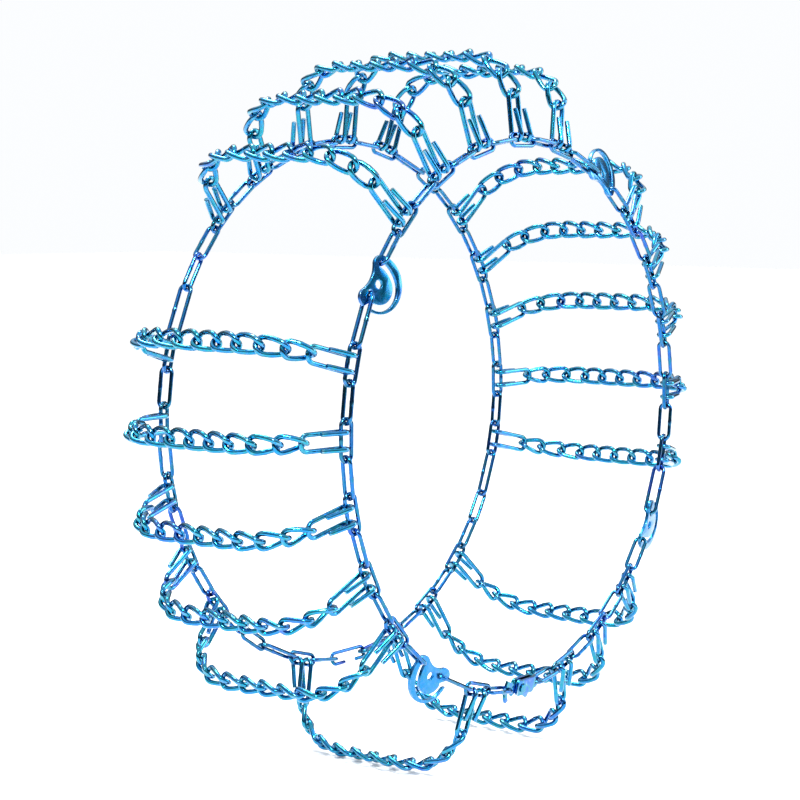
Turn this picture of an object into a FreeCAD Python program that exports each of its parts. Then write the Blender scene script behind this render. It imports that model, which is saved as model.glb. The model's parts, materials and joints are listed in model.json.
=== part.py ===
# Snow chain fitted round a tyre: two side-chain rings, cross chains over the tread,
# four turning cams and a lever fastener. Millimetres, +Z up.
# The origin is the tyre's centre, Y is the wheel's axis and -Y is the outer side.
import FreeCAD, Part
import math
import os
import Sketcher
from FreeCAD import Placement, Rotation, Vector

SIZES = {
    # the tyre that the chain is cut for
    "tread_radius": 346.0,
    "tread_half_flat": 48.0,
    "shoulder_radius": 50.0,
    # side chains
    "side_ring_radius": 270.0,
    "side_ring_offset": 112.0,
    "side_wire": 4.0,
    "side_link_gap": 7.5,
    "long_link_pitch": 48.0,
    "side_play": 0.5,
    # cross chains
    "cross_link_pitch": 23.4,
    "cross_wire": 5.0,
    "cross_link_gap": 10.0,
    "cross_play": 1.2,
    "cross_end_roll": 34.0,
    "cross_lift": 6.5,
    # end hooks
    "hook_length": 41.0,
    "hook_wire": 4.8,
    "hook_end_clearance": 2.75,
    "hook_nose_clearance": 0.6,
    "hook_bar_clearance": 1.3,
    "hook_tip_length": 24.0,
    "hook_tip_angle": 4.0,
    # cams
    "cam_radius": 27.0,
    "cam_centre_back": 11.5,
    "cam_centre_out": 5.3,
    "cam_lobe_ahead": 5.5,
    "cam_lobe_in": 1.5,
    "cam_neck_radius": 26.0,
    "cam_thickness": 3.5,
    "cam_slot_clearance": 0.9,
    "cam_travel": 35.0,
    "cam_travel_spare": 4.0,
    "cam_mouth_ahead": 9.5,
    "cam_mouth_in": 6.0,
    "cam_mouth_angle": 38.0,
    "cam_key_size": 8.0,
    # lever fastener
    "fork_thickness": 9.5,
    "fork_height": 16.0,
    "fork_slot": 4.0,
    "fork_corner_radius": 3.5,
    "fork_pin_wall": 6.0,
    "fork_eye_thickness": 3.6,
    "fork_eye_wall": 3.6,
    "fork_wire_clearance": 0.8,
    "lever_thickness": 3.0,
    "lever_pivot_back": 4.0,
    "lever_hub_radius": 7.0,
    "lever_nose_wall": 4.4,
    "lever_nose_start": 156.0,
    "lever_nose_end": 214.0,
    "lever_tail_length": 21.0,
    "lever_tail_height": 7.0,
    "lever_tail_angle": -38.0,
    "pin_diameter": 5.0,
    "pin_head_diameter": 9.0,
    "pin_head_height": 1.6,
    "pin_clearance": 0.3,
}

# How the cross chains are spread: so many between one break of the ring and the next.
GROUPS = [5, 1, 3, 5, 5]
BREAKS = ["cam_4", "fastener", "cam_3", "cam_2", "cam_1"]
TURNED_OVER = ["cam_1"]
LINKS_PER_HOOK = 2
LINK_TWIST = 90.0       # from one end of a cross link to its other end, in degrees
LINK_SECTIONS = 9
CUT_OVERRUN = 5.0       # how far a cut starts outside the piece it opens
SLOT_SHARE = 0.6        # the fork's slot is this much of the lever's tail deep
GAP_SHARE = 0.45        # half of the closing hook's gap, as a share of half its leg
BEND_ROUNDS = 20
CHORD_ROUNDS = 60
GROUP_MIDDLE = 194.7    # where the first group's middle sits, in degrees from +X towards +Z

doc = FreeCAD.newDocument("snow_chain")
sheet = doc.addObject("Spreadsheet::Sheet", "Sizes")
for row, (alias, value) in enumerate(SIZES.items(), start=1):
    sheet.set("A%d" % row, alias)
    sheet.set("B%d" % row, str(value))
    sheet.setAlias("B%d" % row, alias)
doc.recompute()


def size(alias):
    return float(sheet.get(alias))


ring_radius = size("side_ring_radius")
ring_offset = size("side_ring_offset")
side_wire = size("side_wire")
side_bend = (size("side_link_gap") + side_wire) / 2
side_play = size("side_play")
hook_wire = size("hook_wire")
cross_pitch = size("cross_link_pitch")
cross_wire = size("cross_wire")
cross_play = size("cross_play")
Y = Vector(0, 1, 0)
OUTER = -1
INNER = 1


# ---- layout of the rings: each break holds one long reach, plain links share the rest

long_angle = 2 * math.degrees(math.asin(size("long_link_pitch") / (2 * ring_radius)))
plain_count = LINKS_PER_HOOK * (sum(GROUPS) - len(GROUPS)) + 3 * len(GROUPS)
plain_angle = (360.0 - len(GROUPS) * long_angle) / plain_count
plain_pitch = 2 * ring_radius * math.sin(math.radians(plain_angle / 2))
PLAIN_PITCH = ("2 * Sizes.side_ring_radius * sin((360 deg - %d * asin(Sizes.long_link_pitch"
               " / (2 * Sizes.side_ring_radius))) / %d)" % (2 * len(GROUPS), 2 * plain_count))


def radial(angle):
    turn = math.radians(angle)
    return Vector(math.cos(turn), 0, math.sin(turn))


def along(angle):
    turn = math.radians(angle)
    return Vector(-math.sin(turn), 0, math.cos(turn))


def turned(x_axis, z_axis, base):
    """Placement that lays a piece's own X and Z along two directions."""
    x = Vector(x_axis).normalize()
    y = Vector(z_axis).cross(x).normalize()
    return Placement(base, Rotation(x, y, x.cross(y), "ZXY"))


# ---- the cross chain's path, as (distance from the wheel's axis, distance outboard)

path_radius = size("tread_radius") + size("cross_lift")
corner = size("shoulder_radius") + size("cross_lift")
half_flat = size("tread_half_flat")
corner_r = path_radius - corner
bar_r = ring_radius * math.cos(math.radians(plain_angle / 2))
lay = 0.0
for _ in range(BEND_ROUNDS):
    # the hooked bar, and the straight from it that just touches the shoulder's curve
    hooked_r = bar_r + side_bend * math.cos(lay)
    hooked_w = ring_offset - side_bend * math.sin(lay)
    reach = math.hypot(hooked_r - corner_r, hooked_w - half_flat)
    to_bar = math.atan2(hooked_w - half_flat, hooked_r - corner_r)
    corner_turn = to_bar - math.acos(corner / reach)
    lay = math.pi / 2 - corner_turn
straight = math.sqrt(reach ** 2 - corner ** 2)
half_path = half_flat + corner * corner_turn + straight


def path_point(run):
    """Point on the path, measured along it from the middle of the tread."""
    if run <= half_flat:
        return path_radius, run
    turn = min((run - half_flat) / corner, corner_turn)
    left = run - half_flat - corner * turn
    r = corner_r + corner * math.cos(turn) - left * math.sin(turn)
    w = half_flat + corner * math.sin(turn) + left * math.cos(turn)
    return r, w


def step_along(run, chord):
    """How far along the path the next joint is, one straight chord away."""
    start = path_point(run)
    low, high = run + chord, run + 1.5 * chord
    for _ in range(CHORD_ROUNDS):
        middle = (low + high) / 2
        here = path_point(middle)
        if math.hypot(here[0] - start[0], here[1] - start[1]) < chord:
            low = middle
        else:
            high = middle
    return low


half_links = round((half_path - size("hook_length")) / cross_pitch)
joint_runs = [0.0]
for _ in range(half_links):
    joint_runs.append(step_along(joint_runs[-1], cross_pitch))
half_joints = [path_point(run) for run in joint_runs]
profile = [(r, -w) for r, w in reversed(half_joints)] + [(r, w) for r, w in half_joints[1:]]
hook_reach = math.hypot(half_joints[-1][0] - hooked_r, half_joints[-1][1] - hooked_w)
print("cross chain: %d links, hook reach %.2f mm, lay %.2f degrees, side pitch %.2f mm"
      % (2 * half_links, hook_reach, math.degrees(lay), plain_pitch))


def across(angle, r, y):
    """Point of the meridian plane at an angle round the wheel."""
    return radial(angle) * r + Y * y


def lay_axes(angle, side):
    """Directions up the sidewall and out of it, for a ring's piece at this angle."""
    up = radial(angle) * math.cos(lay) - Y * (side * math.sin(lay))
    out = Y * (side * math.cos(lay)) + radial(angle) * math.sin(lay)
    return up, out


# ---- helpers for bodies and sketches

def origin_plane(body, role):
    return [f for f in body.Origin.OriginFeatures if f.Role == role][0]


def new_body(name):
    body = doc.addObject("PartDesign::Body", name)
    doc.recompute()
    return body


def new_sketch(body, name, role="XY_Plane"):
    sketch = body.newObject("Sketcher::SketchObject", name)
    sketch.AttachmentSupport = (origin_plane(body, role), [""])
    sketch.MapMode = "FlatFace"
    return sketch


def bind(sketch, constraint, name, expression):
    index = sketch.addConstraint(constraint)
    sketch.renameConstraint(index, name)
    sketch.setExpression("Constraints." + name, expression)


def arc(centre, radius, start, end):
    """Sketch arc that runs counter-clockwise between two angles in degrees."""
    circle = Part.Circle(Vector(centre[0], centre[1], 0), Vector(0, 0, 1), radius)
    return Part.ArcOfCircle(circle, math.radians(start), math.radians(end))


def line(start, end):
    return Part.LineSegment(Vector(start[0], start[1], 0), Vector(end[0], end[1], 0))


def polar(centre, radius, angle):
    turn = math.radians(angle)
    return centre[0] + radius * math.cos(turn), centre[1] + radius * math.sin(turn)


def pad(body, sketch, name, length):
    feature = body.newObject("PartDesign::Pad", name)
    feature.Profile = sketch
    feature.Midplane = True
    feature.setExpression("Length", length)
    doc.recompute()
    return feature


def pocket_through(body, sketch, name):
    before = body.Shape.Volume
    feature = body.newObject("PartDesign::Pocket", name)
    feature.Profile = sketch
    feature.Midplane = True
    feature.Type = "ThroughAll"
    doc.recompute()
    if body.Shape.Volume > before - 0.1:
        raise RuntimeError("%s cuts nothing" % name)
    return feature


# ---- straight side links: an oval of wire, welded shut

def side_link(name, pitch):
    body = new_body(name)
    path = new_sketch(body, name + "_path")
    run = side_bend         # the sketch's own constraint sets the real length
    path.addGeometry([
        line((-run / 2, side_bend), (run / 2, side_bend)),
        arc((run / 2, 0), side_bend, -90, 90),
        line((run / 2, -side_bend), (-run / 2, -side_bend)),
        arc((-run / 2, 0), side_bend, 90, 270),
    ], False)
    path.addConstraint([
        Sketcher.Constraint("Tangent", 0, 2, 1, 2),
        Sketcher.Constraint("Tangent", 1, 1, 2, 1),
        Sketcher.Constraint("Tangent", 2, 2, 3, 2),
        Sketcher.Constraint("Tangent", 3, 1, 0, 1),
        Sketcher.Constraint("Horizontal", 0),
        Sketcher.Constraint("Horizontal", 2),
        Sketcher.Constraint("Symmetric", 1, 3, 3, 3, -1, 1),
    ])
    bind(path, Sketcher.Constraint("Radius", 1, side_bend), "bend",
         "(Sizes.side_link_gap + Sizes.side_wire) / 2")
    bind(path, Sketcher.Constraint("DistanceX", 3, 3, 1, 3, run), "run",
         "%s + Sizes.side_play - Sizes.side_link_gap" % pitch)
    section = new_sketch(body, name + "_section", "YZ_Plane")
    section.addGeometry(Part.Circle(Vector(side_bend, 0, 0), Vector(0, 0, 1), side_wire / 2))
    section.addConstraint(Sketcher.Constraint("PointOnObject", 0, 3, -1))
    bind(section, Sketcher.Constraint("Radius", 0, side_wire / 2), "wire",
         "Sizes.side_wire / 2")
    bind(section, Sketcher.Constraint("DistanceX", -1, 1, 0, 3, side_bend), "leg",
         "(Sizes.side_link_gap + Sizes.side_wire) / 2")
    doc.recompute()
    pipe = body.newObject("PartDesign::AdditivePipe", name + "_wire")
    pipe.Profile = section
    pipe.Spine = path
    doc.recompute()
    return body


plain_link = side_link("plain_side_link", PLAIN_PITCH)
long_link = side_link("long_side_link", "Sizes.long_link_pitch")


# ---- twisted cross link: the same oval, with its two ends a quarter turn apart

def wire_along(path, start, direction, wire):
    """Round wire swept along a path."""
    ring = Part.Wire([Part.Circle(start, direction, wire / 2).toShape()])
    return path.makePipeShell([ring], True, False)


def twisted_link():
    bend = (size("cross_link_gap") + cross_wire) / 2
    half = (cross_pitch + cross_play + cross_wire) / 2
    run = half - bend
    lap = 4 * run + 2 * math.pi * bend

    def twist_at(point):
        return LINK_TWIST / 2 * point.x / half

    def wire_point(gone):
        """Centre of the wire, so far along the flat oval before it is twisted."""
        mirror = 1 if gone % lap < lap / 2 else -1
        gone = gone % (lap / 2)
        if gone < 2 * run:
            flat = Vector(gone - run, bend, 0)
        else:
            turn = math.pi / 2 - (gone - 2 * run) / bend
            flat = Vector(run + bend * math.cos(turn), bend * math.sin(turn), 0)
        flat = flat * mirror
        return Rotation(Vector(1, 0, 0), twist_at(flat)).multVec(flat)

    ring = Part.Wire([Part.Circle(Vector(), Vector(0, 0, 1), cross_wire / 2).toShape()])
    sections = []
    for k in range(LINK_SECTIONS):
        gone = run + lap / 2 * k / (LINK_SECTIONS - 1)
        centre = wire_point(gone)
        ahead = wire_point(gone + 0.01) - wire_point(gone - 0.01)
        up = Rotation(Vector(1, 0, 0), twist_at(centre)).multVec(Vector(0, 0, 1))
        section = ring.copy()
        section.Placement = Placement(centre, Rotation(ahead.cross(up).cross(ahead),
                                                       ahead.cross(up) * -1, ahead, "ZXY"))
        sections.append(section)
    end_half = Part.makeLoft(sections, True)
    other_half = end_half.copy()
    other_half.rotate(Vector(), Vector(0, 0, 1), 180)
    skins = [max(half_link.Faces, key=lambda face: face.Area)
             for half_link in (end_half, other_half)]
    return Part.Solid(Part.makeShell(skins))


# ---- end hook: one wire, closed at the cross chain and folded round the side link's bar

def end_hook():
    wrap = side_wire / 2 + size("hook_bar_clearance") + hook_wire / 2
    # the legs stand between the wires of the bar's neighbours, and round the cross link's wire
    between_wires = ((plain_pitch - side_play - hook_wire) / 2 - side_wire
                     - size("hook_end_clearance"))
    round_link = (cross_wire + hook_wire) / 2 + size("hook_nose_clearance")
    half_gap = max(between_wires, round_link)
    apex = hook_reach + (hook_wire + cross_play) / 2
    rise = math.asin(wrap / apex)
    fold = math.radians(size("hook_tip_angle"))
    ahead = Vector(math.cos(rise), 0, math.sin(rise))
    low = Vector(wrap * math.sin(rise), 0, -wrap * math.cos(rise))
    back = Vector(-wrap, 0, 0)
    high = Vector(wrap * math.sin(fold), 0, wrap * math.cos(fold))
    tip = high + Vector(math.cos(fold), 0, -math.sin(fold)) * size("hook_tip_length")
    bend = Vector(apex, 0, 0) - ahead * half_gap
    side = Vector(0, half_gap, 0)
    edges = [
        Part.LineSegment(tip + side, high + side),
        Part.Arc(high + side, back + side, low + side),
        Part.LineSegment(low + side, bend + side),
        Part.Arc(bend + side, Vector(apex, 0, 0), bend - side),
        Part.LineSegment(bend - side, low - side),
        Part.Arc(low - side, back - side, high - side),
        Part.LineSegment(high - side, tip - side),
    ]
    path = Part.Wire([edge.toShape() for edge in edges])
    return wire_along(path, tip + side, high - tip, hook_wire)


def master(name, shape):
    feature = doc.addObject("Part::Feature", name)
    feature.Shape = shape
    return feature


cross_link = master("twisted_cross_link", twisted_link())
hook = master("end_hook", end_hook())


# ---- ring pieces in order round the wheel

def ring_pieces():
    """Every place in the ring as (kind, group, start angle, end angle)."""
    pieces = []
    angle = GROUP_MIDDLE - (GROUPS[0] - 1) * LINKS_PER_HOOK * plain_angle / 2 - plain_angle / 2
    for group, (count, name) in enumerate(zip(GROUPS, BREAKS)):
        kinds = ["hooked", "plain"] * count
        kinds += ["fastener", "plain"] if name == "fastener" else [name, "long"]
        for kind in kinds:
            reach_angle = long_angle if kind in ("long", "fastener") else plain_angle
            pieces.append((kind, group, angle, angle + reach_angle))
            angle += reach_angle
    return pieces


pieces = ring_pieces()
hook_angles = [(start + end) / 2 for kind, group, start, end in pieces if kind == "hooked"]


def ring_place(start, end, side, flat):
    """Placement of a ring piece on the chord between two joints."""
    middle = (start + end) / 2
    up, out = lay_axes(middle, side)
    centre = (radial(start) + radial(end)) * (ring_radius / 2) + Y * (side * ring_offset)
    return turned(along(middle), out if flat else up, centre)


def placed(source, placement):
    copy = source.Shape.copy()
    copy.Placement = placement
    return copy


def compound(name, shapes):
    feature = doc.addObject("Part::Feature", name)
    feature.Shape = Part.makeCompound(shapes)
    return feature


nodes = []
runs = [[] for _ in GROUPS]
inner_links = []
for place, (kind, group, start, end) in enumerate(pieces):
    flat = kind == "hooked" or kind.startswith("cam") or kind == "fastener"
    if kind in ("hooked", "plain", "long"):
        # the run after the fastener's break starts with that break's plain link
        after = kind == "plain" and pieces[place - 1][0] == "fastener"
        run = (group + 1) % len(GROUPS) if after or kind == "long" else group
        link = long_link if kind == "long" else plain_link
        runs[run].append(placed(link, ring_place(start, end, OUTER, flat)))
    if kind != "fastener":
        # inside, a plain link takes each cam's place
        link = long_link if kind == "long" else plain_link
        inner_links.append(placed(link, ring_place(start, end, INNER, flat)))

for number, shapes in enumerate(runs, start=1):
    nodes.append(compound("outer_side_chain_%d" % number, shapes))
nodes.append(compound("inner_side_chain", inner_links))


# ---- cross chains and their hooks

cross_count = 2 * half_links
end_roll = size("cross_end_roll")
for number, angle in enumerate(hook_angles, start=1):
    joints = [across(angle, r, y) for r, y in profile]
    links = []
    for k in range(cross_count):
        ahead = joints[k + 1] - joints[k]
        place = turned(ahead, ahead.cross(along(angle)), (joints[k] + joints[k + 1]) * 0.5)
        roll = end_roll * (2 * k / (cross_count - 1) - 1)
        place = place * Placement(Vector(), Rotation(Vector(1, 0, 0), roll))
        links.append(placed(cross_link, place))
    nodes.append(compound("cross_chain_%02d" % number, links))
    pair = []
    for side, joint in ((OUTER, joints[0]), (INNER, joints[-1])):
        bar = across(angle, hooked_r, side * hooked_w)
        ahead = joint - bar
        out = ahead.cross(along(angle)) * -side
        pair.append(placed(hook, turned(ahead, out, bar)))
    nodes.append(compound("end_hooks_%02d" % number, pair))


# ---- cams

def wire_in(start, end, at_end):
    """Centre of the bend's wire that an edge-on outer link puts through a plate."""
    place = ring_place(start, end, OUTER, False)
    pitch = 2 * ring_radius * math.sin(math.radians((end - start) / 2))
    reach_in = (pitch + side_play + side_wire) / 2
    return place.multVec(Vector(reach_in if at_end else -reach_in, 0, 0))


def plate_ends(place):
    """Wire centres at both ends of the plate that fills this place in the ring."""
    before = pieces[place - 1]
    after = pieces[(place + 1) % len(pieces)]
    return wire_in(before[2], before[3], True), wire_in(after[2], after[3], False)


cam_places = {piece[0]: k for k, piece in enumerate(pieces) if piece[0].startswith("cam")}
first_ends = plate_ends(cam_places["cam_4"])
cam_span = (first_ends[1] - first_ends[0]).Length


def tangent_neck(first, first_radius, second, second_radius, neck):
    """Centre of the hollow arc that touches two lobes from outside, on their +Y side."""
    gap = math.hypot(second[0] - first[0], second[1] - first[1])
    a = first_radius + neck
    b = second_radius + neck
    ahead = (a ** 2 - b ** 2 + gap ** 2) / (2 * gap)
    off = math.sqrt(a ** 2 - ahead ** 2)
    ux, uy = (second[0] - first[0]) / gap, (second[1] - first[1]) / gap
    return first[0] + ahead * ux - off * uy, first[1] + ahead * uy + off * ux


def heading(start, end):
    return math.degrees(math.atan2(end[1] - start[1], end[0] - start[0]))


def cam_body():
    """Plate in its own frame: pivot hole at the origin, slot's closed end at -X."""
    body = new_body("cam_plate")
    radius = size("cam_radius")
    middle = (-size("cam_centre_back"), -size("cam_centre_out"))
    closed = (-cam_span, 0.0)
    lobe = (size("cam_lobe_ahead"), size("cam_lobe_in"))
    closed_radius = radius - math.dist(closed, middle)
    lobe_radius = radius - math.dist(lobe, middle)
    neck_radius = size("cam_neck_radius")
    neck = tangent_neck(closed, closed_radius, lobe, lobe_radius, neck_radius)
    outline = new_sketch(body, "cam_outline")
    outline.addGeometry([
        arc(middle, radius, heading(middle, closed), heading(middle, lobe)),
        arc(lobe, lobe_radius, heading(middle, lobe), heading(lobe, neck)),
        arc(neck, neck_radius, heading(neck, closed), heading(neck, lobe)),
        arc(closed, closed_radius, heading(closed, neck), heading(middle, closed)),
    ], False)
    pad(body, outline, "cam_blank", "Sizes.cam_thickness")

    # the slot: first an arc about the pivot, then a smaller arc that carries it round
    half_slot = side_wire / 2 + size("cam_slot_clearance")
    turn = size("cam_travel") + size("cam_travel_spare")
    bent = polar((0, 0), cam_span, 180 + turn)
    mouth = (size("cam_mouth_ahead"), -size("cam_mouth_in"))
    toward = (-bent[0] / cam_span, -bent[1] / cam_span)
    gap = (bent[0] - mouth[0], bent[1] - mouth[1])
    small = -(gap[0] ** 2 + gap[1] ** 2) / (2 * (toward[0] * gap[0] + toward[1] * gap[1]))
    hub = (bent[0] + small * toward[0], bent[1] + small * toward[1])
    mouth_angle = heading(hub, mouth)
    slot = new_sketch(body, "cam_slot")
    slot.addGeometry([
        arc((0, 0), cam_span + half_slot, 180, 180 + turn),
        arc(hub, small + half_slot, 180 + turn, 360 + mouth_angle),
        line(polar(hub, small + half_slot, mouth_angle), polar(hub, small - half_slot, mouth_angle)),
        arc(hub, small - half_slot, 180 + turn, 360 + mouth_angle),
        arc((0, 0), cam_span - half_slot, 180, 180 + turn),
        arc(closed, half_slot, 0, 180),
    ], False)
    pocket_through(body, slot, "cam_slot_cut")

    # the slot's mouth leaves the plate past the pivot's lobe
    opening = new_sketch(body, "cam_mouth")
    out = size("cam_mouth_angle")
    corners = []
    for reach_out, off in ((-half_slot, -half_slot), (radius, -half_slot),
                           (radius, half_slot), (-half_slot, half_slot)):
        corners.append(polar(polar(mouth, reach_out, out), off, out + 90))
    opening.addGeometry([line(corners[k], corners[(k + 1) % 4]) for k in range(4)], False)
    pocket_through(body, opening, "cam_mouth_cut")

    holes = new_sketch(body, "cam_holes")
    holes.addGeometry(Part.Circle(Vector(0, 0, 0), Vector(0, 0, 1), half_slot), False)
    holes.addConstraint(Sketcher.Constraint("Coincident", 0, 3, -1, 1))
    bind(holes, Sketcher.Constraint("Radius", 0, half_slot), "pivot",
         "Sizes.side_wire / 2 + Sizes.cam_slot_clearance")
    pocket_through(body, holes, "cam_pivot_hole")

    key = new_sketch(body, "cam_key")
    half_key = size("cam_key_size") / 2
    corner_points = [polar(middle, half_key / math.cos(math.pi / 8), 22.5 + 45 * k)
                     for k in range(8)]
    key.addGeometry([line(corner_points[k], corner_points[(k + 1) % 8]) for k in range(8)], False)
    pocket_through(body, key, "cam_key_hole")
    return body


cam_master = cam_body()
for name, place in cam_places.items():
    kind, group, start, end = pieces[place]
    closed_end, pivot = plate_ends(place)
    up, out = lay_axes((start + end) / 2, OUTER)
    cam = doc.addObject("Part::Feature", name)
    cam.Shape = cam_master.Shape.copy()
    cam.Placement = turned(pivot - closed_end, out * (-1 if name in TURNED_OVER else 1), pivot)
    nodes.append(cam)
    axis = cam.Placement.Rotation.multVec(Vector(0, 0, -1))
    print("%s pivot %s axis %s" % (name, tuple(round(v, 3) for v in pivot),
                                   tuple(round(v, 5) for v in axis)))


# ---- lever fastener: X runs along the ring, Z out of the sidewall

fastener_place = [k for k, piece in enumerate(pieces) if piece[0] == "fastener"][0]
left_wire, right_wire = plate_ends(fastener_place)
half_span = (right_wire - left_wire).Length / 2
pivot_x = -size("lever_pivot_back")
hole_radius = side_wire / 2 + size("cam_slot_clearance")
pin_radius = size("pin_diameter") / 2


def fork_body():
    body = new_body("fork_blank")
    half_height = size("fork_height") / 2
    left = pivot_x - pin_radius - size("fork_pin_wall")
    web = size("lever_tail_length") * SLOT_SHARE
    right = half_span - side_wire - size("fork_wire_clearance")
    block = new_sketch(body, "fork_outline")
    round_off = size("fork_corner_radius")
    block.addGeometry([
        line((left + round_off, -half_height), (right - round_off, -half_height)),
        arc((right - round_off, round_off - half_height), round_off, -90, 0),
        line((right, round_off - half_height), (right, half_height - round_off)),
        arc((right - round_off, half_height - round_off), round_off, 0, 90),
        line((right - round_off, half_height), (left + round_off, half_height)),
        arc((left + round_off, half_height - round_off), round_off, 90, 180),
        line((left, half_height - round_off), (left, round_off - half_height)),
        arc((left + round_off, round_off - half_height), round_off, 180, 270),
    ], False)
    pad(body, block, "fork_block", "Sizes.fork_thickness")
    eye = new_sketch(body, "fork_eye")
    eye_radius = hole_radius + size("fork_eye_wall")
    eye.addGeometry([
        line((web, -eye_radius), (half_span, -eye_radius)),
        arc((half_span, 0), eye_radius, -90, 90),
        line((half_span, eye_radius), (web, eye_radius)),
        line((web, eye_radius), (web, -eye_radius)),
    ], False)
    pad(body, eye, "fork_eye_pad", "Sizes.fork_eye_thickness")
    slot = new_sketch(body, "fork_slot", "XZ_Plane")
    half_slot = size("fork_slot") / 2
    mouth = left - CUT_OVERRUN
    slot.addGeometry([
        line((mouth, -half_slot), (web, -half_slot)),
        arc((web, 0), half_slot, -90, 90),
        line((web, half_slot), (mouth, half_slot)),
        line((mouth, half_slot), (mouth, -half_slot)),
    ], False)
    pocket_through(body, slot, "fork_slot_cut")
    holes = new_sketch(body, "fork_holes")
    holes.addGeometry([
        Part.Circle(Vector(pivot_x, 0, 0), Vector(0, 0, 1), pin_radius),
        Part.Circle(Vector(half_span, 0, 0), Vector(0, 0, 1), hole_radius),
    ], False)
    bind(holes, Sketcher.Constraint("Radius", 0, pin_radius), "pin",
         "Sizes.pin_diameter / 2 + Sizes.pin_clearance")
    bind(holes, Sketcher.Constraint("Radius", 1, hole_radius), "wire",
         "Sizes.side_wire / 2 + Sizes.cam_slot_clearance")
    pocket_through(body, holes, "fork_hole_cut")
    return body


def lever_body():
    """Flat lever in the fork's frame: hooked nose round the left link, tail to pull."""
    body = new_body("lever_plate")
    pivot = (pivot_x, 0.0)
    wire_run = half_span + pivot_x
    nose = wire_run + hole_radius + size("lever_nose_wall")
    nose_start, nose_end = size("lever_nose_start"), size("lever_nose_end")
    tail_angle = size("lever_tail_angle")
    hub_radius = size("lever_hub_radius")
    hub = new_sketch(body, "lever_hub")
    hub.addGeometry(Part.Circle(Vector(pivot_x, 0, 0), Vector(0, 0, 1), hub_radius), False)
    bind(hub, Sketcher.Constraint("Radius", 0, hub_radius), "hub", "Sizes.lever_hub_radius")
    pad(body, hub, "lever_hub_pad", "Sizes.lever_thickness")
    sector = new_sketch(body, "lever_nose")
    sector.addGeometry([
        line(pivot, polar(pivot, nose, nose_start)),
        arc(pivot, nose, nose_start, nose_end),
        line(polar(pivot, nose, nose_end), pivot),
    ], False)
    pad(body, sector, "lever_nose_pad", "Sizes.lever_thickness")
    tail = new_sketch(body, "lever_tail")
    half_tail = size("lever_tail_height") / 2
    tail_end = polar(pivot, size("lever_tail_length") - half_tail, tail_angle)
    left, right = tail_angle + 90, tail_angle - 90
    tail.addGeometry([
        line(polar(pivot, half_tail, right), polar(tail_end, half_tail, right)),
        arc(tail_end, half_tail, right, left),
        line(polar(tail_end, half_tail, left), polar(pivot, half_tail, left)),
        line(polar(pivot, half_tail, left), polar(pivot, half_tail, right)),
    ], False)
    pad(body, tail, "lever_tail_pad", "Sizes.lever_thickness")
    slot = new_sketch(body, "lever_slot")
    wire = polar(pivot, wire_run, 180)
    beyond = nose_end + math.degrees(CUT_OVERRUN / wire_run)
    slot.addGeometry([
        arc(pivot, wire_run + hole_radius, 180, beyond),
        line(polar(pivot, wire_run + hole_radius, beyond),
             polar(pivot, wire_run - hole_radius, beyond)),
        arc(pivot, wire_run - hole_radius, 180, beyond),
        arc(wire, hole_radius, 0, 180),
    ], False)
    pocket_through(body, slot, "lever_slot_cut")
    hole = new_sketch(body, "lever_hole")
    hole.addGeometry(Part.Circle(Vector(pivot_x, 0, 0), Vector(0, 0, 1), pin_radius), False)
    bind(hole, Sketcher.Constraint("Radius", 0, pin_radius), "pin",
         "Sizes.pin_diameter / 2 + Sizes.pin_clearance")
    pocket_through(body, hole, "lever_hole_cut")
    return body


def rivet():
    """Pin along Z through the fork, a head on each side."""
    parts = []
    for name, diameter, height, base in (
            ("pin_shank", "pin_diameter", "fork_thickness + 2 * Sizes.pin_head_height",
             "-Sizes.fork_thickness / 2 - Sizes.pin_head_height"),
            ("pin_head_out", "pin_head_diameter", "pin_head_height", "Sizes.fork_thickness / 2"),
            ("pin_head_in", "pin_head_diameter", "pin_head_height",
             "-Sizes.fork_thickness / 2 - Sizes.pin_head_height")):
        cylinder = doc.addObject("Part::Cylinder", name)
        cylinder.setExpression("Radius", "Sizes.%s / 2" % diameter)
        cylinder.setExpression("Height", "Sizes.%s" % height)
        cylinder.setExpression("Placement.Base.z", base)
        parts.append(cylinder)
    fused = doc.addObject("Part::MultiFuse", "fastener_pin")
    fused.Shapes = parts
    doc.recompute()
    return fused


kind, group, start, end = pieces[fastener_place]
up, out = lay_axes((start + end) / 2, OUTER)
seat = turned(right_wire - left_wire, out, (left_wire + right_wire) * 0.5)
fork = fork_body()
lever = lever_body()
pin = rivet()
pin.Placement = seat * Placement(Vector(pivot_x, 0, 0), Rotation())
fork.Placement = seat
lever.Placement = seat
for feature, label in ((fork, "fastener_fork"), (lever, "fastener_lever"), (pin, "fastener_pin")):
    feature.Label = label
    nodes.append(feature)
axis = seat.Rotation.multVec(Vector(0, 0, -1))
print("lever pivot %s axis %s" % (tuple(round(v, 3) for v in pin.Placement.Base),
                                  tuple(round(v, 5) for v in axis)))


# ---- inner closing hook: a long link left open on one leg

def closing_hook():
    run = (size("long_link_pitch") + side_play + side_wire) / 2 - side_bend
    open_half = run * GAP_SHARE
    edges = [
        Part.LineSegment(Vector(run - open_half, side_bend, 0), Vector(run, side_bend, 0)),
        Part.Arc(Vector(run, side_bend, 0), Vector(run + side_bend, 0, 0),
                 Vector(run, -side_bend, 0)),
        Part.LineSegment(Vector(run, -side_bend, 0), Vector(-run, -side_bend, 0)),
        Part.Arc(Vector(-run, -side_bend, 0), Vector(-run - side_bend, 0, 0),
                 Vector(-run, side_bend, 0)),
        Part.LineSegment(Vector(-run, side_bend, 0), Vector(run - 3 * open_half, side_bend, 0)),
    ]
    path = Part.Wire([edge.toShape() for edge in edges])
    return wire_along(path, Vector(run - open_half, side_bend, 0), Vector(1, 0, 0), side_wire)


closing = doc.addObject("Part::Feature", "inner_closing_hook")
closing.Shape = closing_hook()
closing.Placement = ring_place(start, end, INNER, True)
nodes.append(closing)

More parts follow.
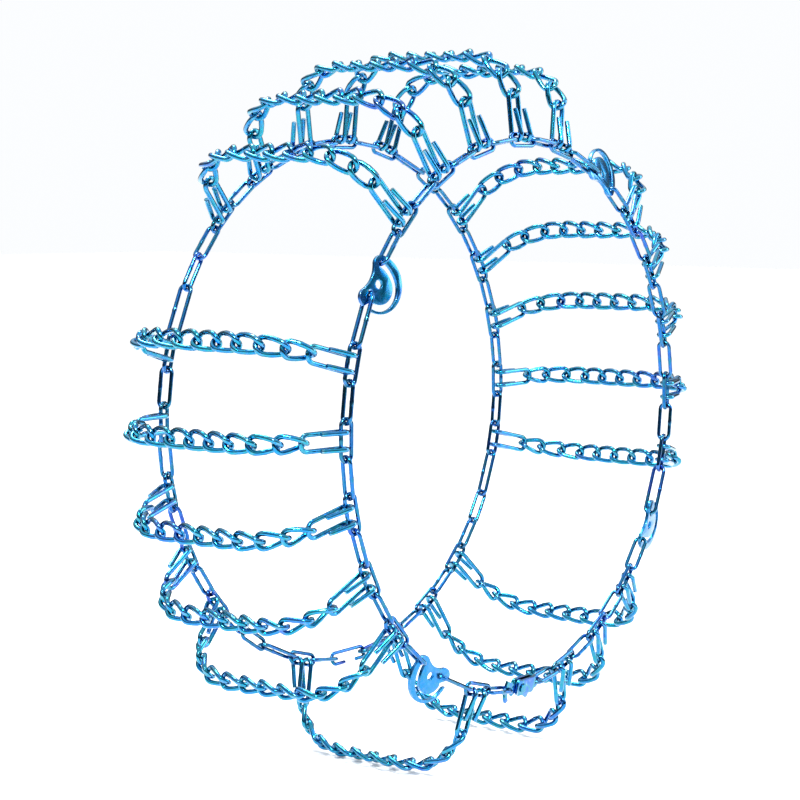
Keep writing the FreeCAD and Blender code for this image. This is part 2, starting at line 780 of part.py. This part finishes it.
doc.recompute()
for feature in doc.Objects:
    if "Invalid" in feature.State or "Error" in feature.State:
        raise RuntimeError("%s failed: %s" % (feature.Label, feature.State))
for node in nodes:
    if node.Shape.isNull() or not node.Shape.isValid() or not node.Shape.Solids:
        raise RuntimeError("%s has no valid solid" % node.Label)
os.makedirs("parts", exist_ok=True)
for node in nodes:
    node.Shape.exportStep("parts/%s.step" % node.Label)
print("%d nodes, %d solids" % (len(nodes), sum(len(node.Shape.Solids) for node in nodes)))
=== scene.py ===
import json
import math

import bmesh
import bpy
import numpy as np
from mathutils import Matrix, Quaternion, Vector


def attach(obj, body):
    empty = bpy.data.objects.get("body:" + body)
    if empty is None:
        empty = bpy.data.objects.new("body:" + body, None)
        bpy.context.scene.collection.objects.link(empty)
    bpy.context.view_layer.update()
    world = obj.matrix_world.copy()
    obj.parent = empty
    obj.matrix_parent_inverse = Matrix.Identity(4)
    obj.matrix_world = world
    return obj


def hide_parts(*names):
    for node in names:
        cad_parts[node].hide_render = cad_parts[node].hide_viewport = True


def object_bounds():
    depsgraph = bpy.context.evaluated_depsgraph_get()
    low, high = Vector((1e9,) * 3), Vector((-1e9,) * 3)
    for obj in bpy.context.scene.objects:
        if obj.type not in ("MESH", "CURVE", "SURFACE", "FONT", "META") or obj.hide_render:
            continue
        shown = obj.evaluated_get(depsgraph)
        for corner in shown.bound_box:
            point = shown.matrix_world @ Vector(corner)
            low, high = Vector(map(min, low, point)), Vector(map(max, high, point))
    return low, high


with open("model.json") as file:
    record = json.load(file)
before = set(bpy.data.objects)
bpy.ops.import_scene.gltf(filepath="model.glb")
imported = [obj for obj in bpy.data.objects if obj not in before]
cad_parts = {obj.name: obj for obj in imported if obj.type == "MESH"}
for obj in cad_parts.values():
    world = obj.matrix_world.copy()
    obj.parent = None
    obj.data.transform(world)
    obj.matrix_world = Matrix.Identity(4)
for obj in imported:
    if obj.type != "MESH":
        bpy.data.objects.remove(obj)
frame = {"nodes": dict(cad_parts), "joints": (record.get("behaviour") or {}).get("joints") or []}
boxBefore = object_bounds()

print("frame loaded:", len(frame["nodes"]), "nodes")


# shader maths: a wrapped socket that understands + - * /

class Wire:
    def __init__(self, tree, socket):
        self.tree = tree
        self.socket = socket

    def node(self, kind, settings=None, inputs=None, out=0):
        made = self.tree.nodes.new(kind)
        for name, value in (settings or {}).items():
            if name == "stops":
                fillRamp(made.color_ramp, value)
            else:
                setattr(made, name, value)
        for name, value in (inputs or {}).items():
            if isinstance(value, Wire):
                self.tree.links.new(value.socket, made.inputs[name])
            else:
                made.inputs[name].default_value = value
        return Wire(self.tree, made.outputs[out] if made.outputs else None)

    def math(self, operation, first, second=0.0, clamp=False):
        return self.node("ShaderNodeMath", {"operation": operation, "use_clamp": clamp},
                         {0: first, 1: second})

    def __add__(self, other):
        return self.math("ADD", self, other)

    __radd__ = __add__

    def __mul__(self, other):
        return self.math("MULTIPLY", self, other)

    __rmul__ = __mul__

    def __sub__(self, other):
        return self.math("SUBTRACT", self, other)

    def __rsub__(self, other):
        return self.math("SUBTRACT", other, self)

    def __truediv__(self, other):
        return self.math("DIVIDE", self, other)

    def __rtruediv__(self, other):
        return self.math("DIVIDE", other, self)

    def clamped(self):
        return self.math("ADD", self, 0.0, True)

    # 0 below low, 1 above high, smooth between
    def above(self, low, high):
        return self.node("ShaderNodeMapRange", {"interpolation_type": "SMOOTHSTEP"},
                         {"Value": self, "From Min": low, "From Max": high})

    # colour first where this is 0 and second where it is 1
    def blend(self, first, second):
        return self.node("ShaderNodeMix", {"data_type": "RGBA"},
                         {0: self, 6: first, 7: second}, 2)


def fillRamp(ramp, stops):
    while len(ramp.elements) < len(stops):
        ramp.elements.new(0.5)
    for element, (position, colour) in zip(ramp.elements, stops):
        element.position = position
        element.color = (*colour, 1.0)


# finishes

plating = {
    # linear colours of the plating, from its greenest tint to its most violet one
    "side": {"teal": (0.000, 0.120, 0.200), "blue": (0.000, 0.100, 0.360),
             "violet": (0.010, 0.045, 0.320), "light": (0.010, 0.230, 0.480)},
    "cross": {"teal": (0.002, 0.210, 0.290), "blue": (0.000, 0.160, 0.400),
              "violet": (0.012, 0.080, 0.360), "light": (0.030, 0.380, 0.600)},
    "plate": {"teal": (0.000, 0.165, 0.320), "blue": (0.000, 0.150, 0.420),
              "violet": (0.010, 0.110, 0.400), "light": (0.020, 0.280, 0.600)},
    "forged": {"teal": (0.000, 0.200, 0.240), "blue": (0.000, 0.110, 0.420),
               "violet": (0.010, 0.055, 0.380), "light": (0.020, 0.310, 0.640)},
    "bareSteel": (0.30, 0.38, 0.46),
}

# how fine each kind of surface detail is (noise scale), and where it starts and ends
dip = {
    "drift": 9.0, "pools": 70.0, "grain": 1400.0, "specks": 520.0, "rubs": 240.0,
    "drawing": 2600.0, "dents": 300.0, "drawnOut": 0.06,
    "hueEdges": (0.30, 0.70), "speckEdges": (0.64, 0.74), "rubEdges": (0.42, 0.62),
    "convex": (0.515, 0.60), "bumpHeight": 0.0002, "bumpStrength": 0.25,
    "coat": 0.4, "coatRoughness": 0.05, "coatIndex": 1.5,
}


# bright blue plating over steel: tints drift between teal, blue and violet
def platedSteel(name, tones, roughness, wireMarks, wear):
    material = bpy.data.materials.new(name)
    material.use_nodes = True
    tree = material.node_tree
    tree.nodes.clear()
    start = Wire(tree, None)
    place = start.node("ShaderNodeTexCoord", out=3)

    def noise(scale, detail=2.0, where=place, rough=0.5, warp=0.0):
        return start.node("ShaderNodeTexNoise", None,
                          {"Vector": where, "Scale": scale, "Detail": detail,
                           "Roughness": rough, "Distortion": warp})

    drift = noise(dip["drift"], 1.0)                # slow change round the whole chain
    pools = noise(dip["pools"], 2.0, warp=0.4)      # plating pooled on each link
    grain = noise(dip["grain"], 3.0)                # fine grain of the bright dip
    hue = (drift * 0.55 + pools * 0.45).above(*dip["hueEdges"])
    tint = start.node("ShaderNodeValToRGB", {"stops": [
        (0.0, tones["teal"]), (0.35, tones["blue"]), (0.55, tones["teal"]),
        (0.78, tones["blue"]), (1.0, tones["violet"])]}, {"Fac": hue})
    # thin spots: pale specks where the dip left less colour
    specks = noise(dip["specks"], 2.0).above(*dip["speckEdges"]) * 0.4
    tint = specks.blend(tint, (*tones["light"], 1.0))
    # rubbed edges and contact marks show a little bare steel
    edges = start.node("ShaderNodeNewGeometry", out=7).above(*dip["convex"])
    rubbed = (edges * noise(dip["rubs"], 3.0).above(*dip["rubEdges"]) * wear).clamped()
    tint = rubbed.blend(tint, (*plating["bareSteel"], 1.0))

    # drawing marks: long thin noise, stretched in the three directions at once
    marks = []
    long = dip["drawnOut"]
    for stretch in ((1.0, long, 1.0), (long, 1.0, 1.0), (1.0, 1.0, long)):
        stretched = start.node("ShaderNodeVectorMath", {"operation": "MULTIPLY"},
                               {0: place, 1: stretch})
        marks.append(noise(dip["drawing"], 2.0, where=stretched))
    drawn = (marks[0] + marks[1] + marks[2]) / 3.0
    rough = roughness + (pools - 0.5) * 0.08 + (grain - 0.5) * 0.06 + rubbed * 0.18
    dents = noise(dip["dents"], 2.0, rough=0.6)
    height = drawn * wireMarks + grain * 0.25 + dents * 0.8
    bump = start.node("ShaderNodeBump", None, {
        "Strength": dip["bumpStrength"], "Distance": dip["bumpHeight"], "Height": height})
    coat = dip["coat"] + (pools - 0.5) * 0.5
    shader = start.node("ShaderNodeBsdfPrincipled", None, {
        "Base Color": tint, "Metallic": 1.0 - rubbed * 0.1, "Roughness": rough.clamped(),
        "Coat Weight": coat.clamped(), "Coat Roughness": dip["coatRoughness"],
        "Coat IOR": dip["coatIndex"], "Normal": bump})
    start.node("ShaderNodeOutputMaterial", None, {"Surface": shader})
    return material


finishes = {
    # material: tones, roughness, how deep the drawing marks are, how worn the edges are
    "platedCrossChain": ("cross", 0.12, 0.6, 0.5),
    "platedHooks": ("cross", 0.12, 0.5, 0.6),
    "platedSideChain": ("side", 0.12, 0.5, 0.4),
    "platedCams": ("plate", 0.26, 0.3, 0.7),
    "platedFastener": ("forged", 0.20, 0.2, 0.7),
}
made = {name: platedSteel(name, plating[tones], roughness, wireMarks, wear)
        for name, (tones, roughness, wireMarks, wear) in finishes.items()}
print("finishes made:", len(made))


# reading the frame: every solid's centre, own axes and extents

reading = {"perMetre": 1e6, "keyBits": 21}     # corners closer than a micrometre are one


# triangles of a mesh, grouped by the solid they belong to
def looseParts(mesh):
    mesh.calc_loop_triangles()
    places = np.zeros(len(mesh.vertices) * 3, np.float32)
    mesh.vertices.foreach_get("co", places)
    places = places.reshape(-1, 3).astype(float)
    triangles = np.zeros(len(mesh.loop_triangles) * 3, np.int32)
    mesh.loop_triangles.foreach_get("vertices", triangles)
    triangles = triangles.reshape(-1, 3)
    bits = reading["keyBits"]
    keys = np.round(places * reading["perMetre"]).astype(np.int64) + (1 << (bits - 1))
    single = (keys[:, 0] << 2 * bits) + (keys[:, 1] << bits) + keys[:, 2]
    merged = np.unique(single, return_inverse=True)[1].ravel()
    corners = merged[triangles]
    label = np.arange(merged.max() + 1)
    while True:
        lowest = label[corners].min(axis=1)
        spread = label.copy()
        np.minimum.at(spread, corners.ravel(), np.repeat(lowest, 3))
        spread = spread[spread]
        if (spread == label).all():
            break
        label = spread
    owner = label[corners[:, 0]]
    return [places[triangles[owner == part]] for part in np.unique(owner)]


# centre, axes (long, middle, short as rows) and extents of one solid's surface
def ownFrame(faces):
    edges = np.cross(faces[:, 1] - faces[:, 0], faces[:, 2] - faces[:, 0])
    area = np.linalg.norm(edges, axis=1) / 2
    middle = faces.mean(axis=1)
    centre = (middle * area[:, None]).sum(axis=0) / area.sum()
    shifted = faces - centre
    mean = shifted.mean(axis=1)
    spread = np.einsum("f,fi,fj->ij", area * 9, mean, mean)
    for corner in range(3):
        spread += np.einsum("f,fi,fj->ij", area, shifted[:, corner], shifted[:, corner])
    axes = np.linalg.eigh(spread)[1].T[::-1].copy()
    axes[2] = np.cross(axes[0], axes[1])
    along = shifted.reshape(-1, 3) @ axes.T
    return {"centre": centre, "axes": axes, "size": along.max(axis=0) - along.min(axis=0)}


solids = {}
for name, node in frame["nodes"].items():
    if "chain" in name:
        solids[name] = [ownFrame(faces) for faces in looseParts(node.data)]
print("solids read:", sum(len(found) for found in solids.values()))


# wire work

def unit(vector):
    return vector / np.linalg.norm(vector)


# round wire along points: vertices ring by ring, and its quads. radii may vary
def sweep(points, ups, radii, closed, around):
    points = np.asarray(points, float)
    if closed:
        ahead = np.roll(points, -1, axis=0) - np.roll(points, 1, axis=0)
    else:
        ahead = np.gradient(points, axis=0)
    ahead /= np.linalg.norm(ahead, axis=1)[:, None]
    ups = ups - (ups * ahead).sum(axis=1)[:, None] * ahead
    ups /= np.linalg.norm(ups, axis=1)[:, None]
    sides = np.cross(ahead, ups)
    turn = np.arange(around) * 2 * math.pi / around
    radii = np.broadcast_to(radii, (len(points), around))
    ring = (np.cos(turn)[None, :, None] * ups[:, None, :]
            + np.sin(turn)[None, :, None] * sides[:, None, :])
    verts = (points[:, None, :] + radii[:, :, None] * ring).reshape(-1, 3)
    count = len(points)
    row = np.arange(count if closed else count - 1)
    nextRow = (row + 1) % count
    col = np.arange(around)
    nextCol = (col + 1) % around
    quads = np.stack([
        row[:, None] * around + col[None, :], row[:, None] * around + nextCol[None, :],
        nextRow[:, None] * around + nextCol[None, :], nextRow[:, None] * around + col[None, :],
    ], axis=-1).reshape(-1, 4)
    return verts, [tuple(quad) for quad in quads]


cutEnd = {"share": 0.82, "proud": 0.00035}


# closes both ends of an open wire with a small rounded-over cut face
def capped(verts, quads, around, count):
    faces = list(quads)
    verts = list(map(tuple, verts))
    for first, outward in ((0, -1), ((count - 1) * around, 1)):
        rim = np.array(verts[first:first + around])
        centre = rim.mean(axis=0)
        inner = len(verts)
        inside = outward > 0
        neighbour = around if outward < 0 else (count - 2) * around
        ahead = unit(centre - np.array(verts[neighbour:neighbour + around]).mean(axis=0))
        for place in rim:
            verts.append(tuple(centre + (place - centre) * cutEnd["share"]
                               + ahead * cutEnd["proud"]))
        for k in range(around):
            after = (k + 1) % around
            quad = (first + k, first + after, inner + after, inner + k)
            faces.append(quad if inside else quad[::-1])
        cut = tuple(inner + k for k in range(around))
        faces.append(cut if inside else cut[::-1])
    return np.array(verts), faces


weldWaves = ((3, 0.8, 0.35), (7, 0.0, 0.20))      # how uneven a ridge is round the wire


# extra radius of a weld: a soft swelling with a proud, slightly uneven ridge
def weldBead(distance, turn, bead):
    swell = bead["swell"] * np.exp(-(distance / bead["spread"]) ** 2)
    uneven = 1 + sum(share * np.sin(waves * turn + phase) for waves, phase, share in weldWaves)
    ridge = bead["ridge"] * np.exp(-(distance / bead["ridgeWidth"]) ** 2)
    return swell[:, None] + ridge[:, None] * uneven[None, :]


# points of a flat oval in XY, and how far each is from the middle of its +Y leg
def ovalPath(run, bend, step):
    legCount = max(6, round(run / step["leg"]))
    places, along = [], []
    for k in range(legCount):
        x = -run / 2 + run * k / legCount
        places.append((x, bend, 0.0))
        along.append(abs(x))
    for k in range(step["bend"]):
        turn = math.pi / 2 - math.pi * k / step["bend"]
        places.append((run / 2 + bend * math.cos(turn), bend * math.sin(turn), 0.0))
        along.append(run)
    for k in range(legCount):
        places.append((run / 2 - run * k / legCount, -bend, 0.0))
        along.append(run)
    for k in range(step["bend"]):
        turn = -math.pi / 2 - math.pi * k / step["bend"]
        places.append((-run / 2 + bend * math.cos(turn), bend * math.sin(turn), 0.0))
        along.append(run)
    return np.array(places), np.array(along)


# joins (vertices, faces) lists into one mesh's data
def placedAll(parts):
    verts, faces, offset = [], [], 0
    for partVerts, partFaces in parts:
        verts.append(partVerts)
        faces += [tuple(i + offset for i in face) for face in partFaces]
        offset += len(partVerts)
    return np.concatenate(verts), faces


smoothBelow = 38.0      # degrees between two faces of a wire


def makePiece(name, parts, finish, body, node):
    verts, faces = placedAll(parts)
    mesh = bpy.data.meshes.new(name)
    mesh.from_pydata(verts.tolist(), [], faces)
    mesh.polygons.foreach_set("use_smooth", [True] * len(mesh.polygons))
    mesh.set_sharp_from_angle(angle=math.radians(smoothBelow))
    mesh.validate()
    piece = bpy.data.objects.new(name, mesh)
    bpy.context.scene.collection.objects.link(piece)
    mesh.materials.append(finish)
    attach(piece, body)
    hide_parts(node)


# side chains: straight welded links

sideLink = {
    "wire": 0.0040, "bend": 0.00575, "around": 16,
    "step": {"leg": 0.0016, "bend": 14},
    "bead": {"swell": 0.00014, "spread": 0.0030, "ridge": 0.00022, "ridgeWidth": 0.0007},
}


# one link laid in a solid's own frame. lift turns the weld to the leg away from the axle
def sideLinkAt(solid, lift):
    run = solid["size"][0] - 2 * sideLink["bend"] - sideLink["wire"]
    points, along = ovalPath(run, sideLink["bend"], sideLink["step"])
    turn = np.arange(sideLink["around"]) * 2 * math.pi / sideLink["around"]
    radii = sideLink["wire"] / 2 + weldBead(along, turn, sideLink["bead"])
    ups = np.tile((0.0, 0.0, 1.0), (len(points), 1))
    verts, quads = sweep(points, ups, radii, True, sideLink["around"])
    axes = solid["axes"].copy()
    if axes[1] @ lift < 0:
        axes = np.array([-axes[0], -axes[1], axes[2]])
    return verts @ axes + solid["centre"], quads


def sideChain(node):
    parts = []
    for solid in solids[node]:
        outward = np.array([solid["centre"][0], 0.0, solid["centre"][2]])
        parts.append(sideLinkAt(solid, outward))
    makePiece(node + "_links", parts, made["platedSideChain"], "side_chains", node)


for name in sorted(solids):
    if "side_chain" in name:
        sideChain(name)
print("side chains made")


# cross chains: links twisted a quarter turn

crossLink = {
    "wire": 0.0050, "bend": 0.0075, "reach": 0.0148, "twist": 90.0, "around": 16,
    "step": {"leg": 0.0016, "bend": 14},
    "bead": {"swell": 0.00020, "spread": 0.0026, "ridge": 0.00020, "ridgeWidth": 0.0006},
}


def crossLinkAt(solid, number):
    run = 2 * (crossLink["reach"] - crossLink["bend"])
    points, along = ovalPath(run, crossLink["bend"], crossLink["step"])
    twist = np.radians(crossLink["twist"] / 2) * points[:, 0] / crossLink["reach"]
    y = points[:, 1] * np.cos(twist)
    z = points[:, 1] * np.sin(twist)
    ups = np.stack([np.zeros_like(twist), -np.sin(twist), np.cos(twist)], axis=1)
    turn = np.arange(crossLink["around"]) * 2 * math.pi / crossLink["around"]
    radii = crossLink["wire"] / 2 + weldBead(along, turn, crossLink["bead"])
    points = np.stack([points[:, 0], y, z], axis=1)
    verts, quads = sweep(points, ups, radii, True, crossLink["around"])
    axes = solid["axes"].copy()
    if number % 2:
        axes = np.array([-axes[0], -axes[1], axes[2]])   # weld on the other leg
    return verts @ axes + solid["centre"], quads


chainNumbers = [int(name[-2:]) for name in sorted(frame["nodes"]) if name.startswith("cross_chain")]
for number in chainNumbers:
    node = "cross_chain_%02d" % number
    links = sorted(solids[node], key=lambda solid: solid["centre"][1])
    parts = [crossLinkAt(solid, k) for k, solid in enumerate(links)]
    makePiece("crossChain_%02d" % number, parts, made["platedCrossChain"],
              node + "_with_hooks", node)
print("cross chains made")


# end hooks: one wire, closed at the cross chain, both legs folded round a side link

endHook = {
    "wire": 0.0048, "wrap": 0.0057, "legGap": 0.01504, "tipLength": 0.024, "tipAngle": 4.0,
    "endPlay": 0.0030, "linkPitch": 0.0234, "bar": 0.00575, "around": 16,
    "step": {"leg": 0.0022, "bend": 14}, "squeeze": 0.00018, "squeezeRings": 1.5,
    "ringOffset": 0.112, "faceOn": 0.9,
}


def arcPoints(centre, across, up, radius, start, end, count):
    turns = np.radians(np.linspace(start, end, count + 1)[:-1])
    return centre + radius * (np.cos(turns)[:, None] * across + np.sin(turns)[:, None] * up)


# centre of the wire from one tip to the other: X to the cross chain, Z outwards
def hookPath(reach):
    wrap, half = endHook["wrap"], endHook["legGap"] / 2
    apex = reach + endHook["endPlay"]
    rise = math.asin(wrap / apex)
    fold = math.radians(endHook["tipAngle"])
    x, y, z = np.eye(3)
    ahead = math.cos(rise) * x + math.sin(rise) * z
    low = wrap * (math.sin(rise) * x - math.cos(rise) * z)
    high = wrap * (math.sin(fold) * x + math.cos(fold) * z)
    tip = high + endHook["tipLength"] * (math.cos(fold) * x - math.sin(fold) * z)
    bend = apex * x - ahead * half
    count = endHook["step"]["bend"]

    def straight(start, end):
        steps = max(2, round(np.linalg.norm(end - start) / endHook["step"]["leg"]))
        return start + (end - start) * np.linspace(0, 1, steps + 1)[:-1, None]

    leg = [straight(tip, high),
           arcPoints(np.zeros(3), x, z, wrap, 90 - math.degrees(fold),
                     270 + math.degrees(rise), count + 4),
           straight(low, bend)]
    near = np.concatenate(leg) + half * y
    nose = arcPoints(bend, y, ahead, half, 0, 180, count + 6)
    far = np.concatenate([near, [bend + half * y]])[::-1] * np.array([1, -1, 1])
    return np.concatenate([near, nose, far])


def hookAt(bar, joint, side, tangent):
    points = hookPath(np.linalg.norm(joint - bar))
    ahead = np.gradient(points, axis=0)
    ahead /= np.linalg.norm(ahead, axis=1)[:, None]
    # carry one direction along the wire without spinning it
    up = np.array([0.0, 1.0, 0.0])
    ups = []
    for direction in ahead:
        up = unit(up - (up @ direction) * direction)
        ups.append(up)
    around = endHook["around"]
    radii = np.full(len(points), endHook["wire"] / 2)
    ends = np.minimum(np.arange(len(points)), np.arange(len(points))[::-1])
    radii = radii - endHook["squeeze"] * np.exp(-ends / endHook["squeezeRings"])  # sheared tips
    verts, quads = sweep(points, np.array(ups), radii[:, None], False, around)
    verts, faces = capped(verts, quads, around, len(points))
    x = unit(joint - bar)
    z = unit(np.cross(x, tangent) * -side)
    axes = np.array([x, np.cross(z, x), z])
    return verts @ axes + bar, faces


jointPlace = {joint["child"]: joint for joint in frame["joints"]}
flatLinks = [solid for name in solids if "side_chain" in name for solid in solids[name]
             if abs(solid["axes"][2][1]) > endHook["faceOn"]]
for number in chainNumbers:
    node = "end_hooks_%02d" % number
    body = "cross_chain_%02d_with_hooks" % number
    pivot = np.array(jointPlace[body]["pos_m"], float)
    radial = unit(pivot)
    tangent = np.array([-radial[2], 0.0, radial[0]])
    links = sorted(solids["cross_chain_%02d" % number], key=lambda solid: solid["centre"][1])
    parts = []
    for side, link in ((-1, links[0]), (1, links[-1])):
        near = min(flatLinks, key=lambda solid: np.linalg.norm(
            solid["centre"] - pivot - np.array([0, side * endHook["ringOffset"], 0])))
        lift = near["axes"][1] * (1 if near["axes"][1] @ radial > 0 else -1)
        bar = near["centre"] + lift * endHook["bar"]
        reach = link["axes"][0] * (1 if link["axes"][0][1] * side > 0 else -1)
        joint = link["centre"] + reach * endHook["linkPitch"] / 2
        parts.append(hookAt(bar, joint, side, tangent))
    makePiece("endHooks_%02d" % number, parts, made["platedHooks"], body, node)
print("end hooks made")


# stamped and forged pieces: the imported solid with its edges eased

easing = {"merge": 2e-6, "flatten": 1.2, "sharpFrom": 28.0, "profile": 0.6, "shadeFrom": 50.0}


def easedCopy(node, name, width, finish, body, segments):
    source = bmesh.new()
    source.from_mesh(frame["nodes"][node].data)
    bmesh.ops.remove_doubles(source, verts=source.verts, dist=easing["merge"])
    bmesh.ops.dissolve_limit(source, angle_limit=math.radians(easing["flatten"]),
                             verts=source.verts, edges=source.edges)
    sharp = [edge for edge in source.edges if len(edge.link_faces) == 2
             and edge.calc_face_angle() > math.radians(easing["sharpFrom"])]
    bmesh.ops.bevel(source, geom=sharp, offset=width, segments=segments, profile=easing["profile"],
                    affect="EDGES", clamp_overlap=True, offset_type="WIDTH")
    mesh = bpy.data.meshes.new(name)
    source.to_mesh(mesh)
    source.free()
    mesh.materials.append(finish)
    mesh.polygons.foreach_set("use_smooth", [True] * len(mesh.polygons))
    mesh.set_sharp_from_angle(angle=math.radians(easing["shadeFrom"]))
    piece = bpy.data.objects.new(name, mesh)
    bpy.context.scene.collection.objects.link(piece)
    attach(piece, body)
    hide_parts(node)


pressed = {
    # piece: CAD node, body it rides on, finish, slot, width of the eased edges, steps in them
    "camPlate_1": ("cam_1", "cam_1", "platedCams", "plated_cams", 0.00055, 2),
    "camPlate_2": ("cam_2", "cam_2", "platedCams", "plated_cams", 0.00055, 2),
    "camPlate_3": ("cam_3", "cam_3", "platedCams", "plated_cams", 0.00055, 2),
    "camPlate_4": ("cam_4", "cam_4", "platedCams", "plated_cams", 0.00055, 2),
    "fastenerFork": ("fastener_fork", "side_chains", "platedFastener", "plated_fastener",
                     0.0009, 3),
    "fastenerLever": ("fastener_lever", "fastener_lever", "platedFastener", "plated_fastener",
                      0.0005, 2),
    "fastenerPin": ("fastener_pin", "side_chains", "platedFastener", "plated_rivet", 0.0005, 3),
    "innerClosingHook": ("inner_closing_hook", "side_chains", "platedSideChain",
                         "plated_side_chain", 0.0004, 2),
}
for name, (node, body, finish, slot, width, segments) in pressed.items():
    easedCopy(node, name, width, made[finish], body, segments)
print("plates and fastener made")


# floor, light and camera

stageLook = {"floor": (0.88, 0.88, 0.88), "floorRoughness": 0.7, "floorSize": 30.0,
             "clearance": 0.0006, "sky": (0.97, 0.985, 1.0), "skyEdge": (0.15, 0.75),
             "horizon": 0.10, "overhead": 1.55, "backdrop": 1.0}

low, high = boxBefore
floorMesh = bpy.data.meshes.new("floor")
half = stageLook["floorSize"] / 2
drop = low[2] - stageLook["clearance"]
floorMesh.from_pydata([(-half, -half, drop), (half, -half, drop), (half, half, drop),
                       (-half, half, drop)], [], [(0, 1, 2, 3)])
floor = bpy.data.objects.new("floor", floorMesh)
bpy.context.scene.collection.objects.link(floor)
floorLook = bpy.data.materials.new("paleFloor")
floorLook.use_nodes = True
paint = floorLook.node_tree.nodes["Principled BSDF"]
paint.inputs["Base Color"].default_value = (*stageLook["floor"], 1.0)
paint.inputs["Roughness"].default_value = stageLook["floorRoughness"]
floorMesh.materials.append(floorLook)

# the room: white to the eye, darker round the horizon than overhead to what it lights
world = bpy.data.worlds.new("softRoom")
bpy.context.scene.world = world
world.use_nodes = True
background = world.node_tree.nodes["Background"]
background.inputs["Color"].default_value = (*stageLook["sky"], 1.0)
room = Wire(world.node_tree, None)
direction = room.node("ShaderNodeTexCoord")
upward = room.node("ShaderNodeSeparateXYZ", None, {0: direction}, 2)
shine = upward.above(*stageLook["skyEdge"]) * (
    stageLook["overhead"] - stageLook["horizon"]) + stageLook["horizon"]
plainly = room.node("ShaderNodeLightPath")
strength = shine + plainly * (stageLook["backdrop"] - shine)
world.node_tree.links.new(strength.socket, background.inputs["Strength"])
bpy.context.scene.view_settings.view_transform = "Standard"

lamps = {
    # name: where it hangs, how wide, watts
    "keyLight": ((-2.0, -1.5, 2.4), (0.6, 0.6), 150.0),
    "rimLight": ((2.0, -1.7, 0.9), (1.2, 1.5), 38.0),
    "topLight": ((0.3, 1.2, 2.8), (0.7, 1.2), 100.0),
}
for name, (place, spread, watts) in lamps.items():
    lamp = bpy.data.lights.new(name, "AREA")
    lamp.shape = "RECTANGLE"
    lamp.size, lamp.size_y = spread
    lamp.energy = watts
    holder = bpy.data.objects.new(name, lamp)
    holder.location = place
    holder.rotation_euler = (Vector((0, 0, 0)) - Vector(place)).to_track_quat("-Z", "Y").to_euler()
    bpy.context.scene.collection.objects.link(holder)

view = {"azimuth": -52.55, "elevation": 5.45, "roll": 0.5, "distance": 2.219, "sensor": 36.0,
        "lens": 98.6, "shift": (-0.039, 0.0115)}
aside = math.radians(view["azimuth"])
raised = math.radians(view["elevation"])
away = Vector((math.sin(aside) * math.cos(raised), -math.cos(aside) * math.cos(raised),
               math.sin(raised)))
lens = bpy.data.cameras.new("camera")
lens.lens = view["lens"]
lens.sensor_width = view["sensor"]
lens.shift_x, lens.shift_y = view["shift"]
camera = bpy.data.objects.new("camera", lens)
camera.location = away * view["distance"]
facing = (-away).to_track_quat("-Z", "Y")
camera.rotation_mode = "QUATERNION"
camera.rotation_quaternion = facing @ Quaternion((0, 0, 1), math.radians(view["roll"]))
bpy.context.scene.collection.objects.link(camera)
bpy.context.scene.camera = camera
print("stage set")
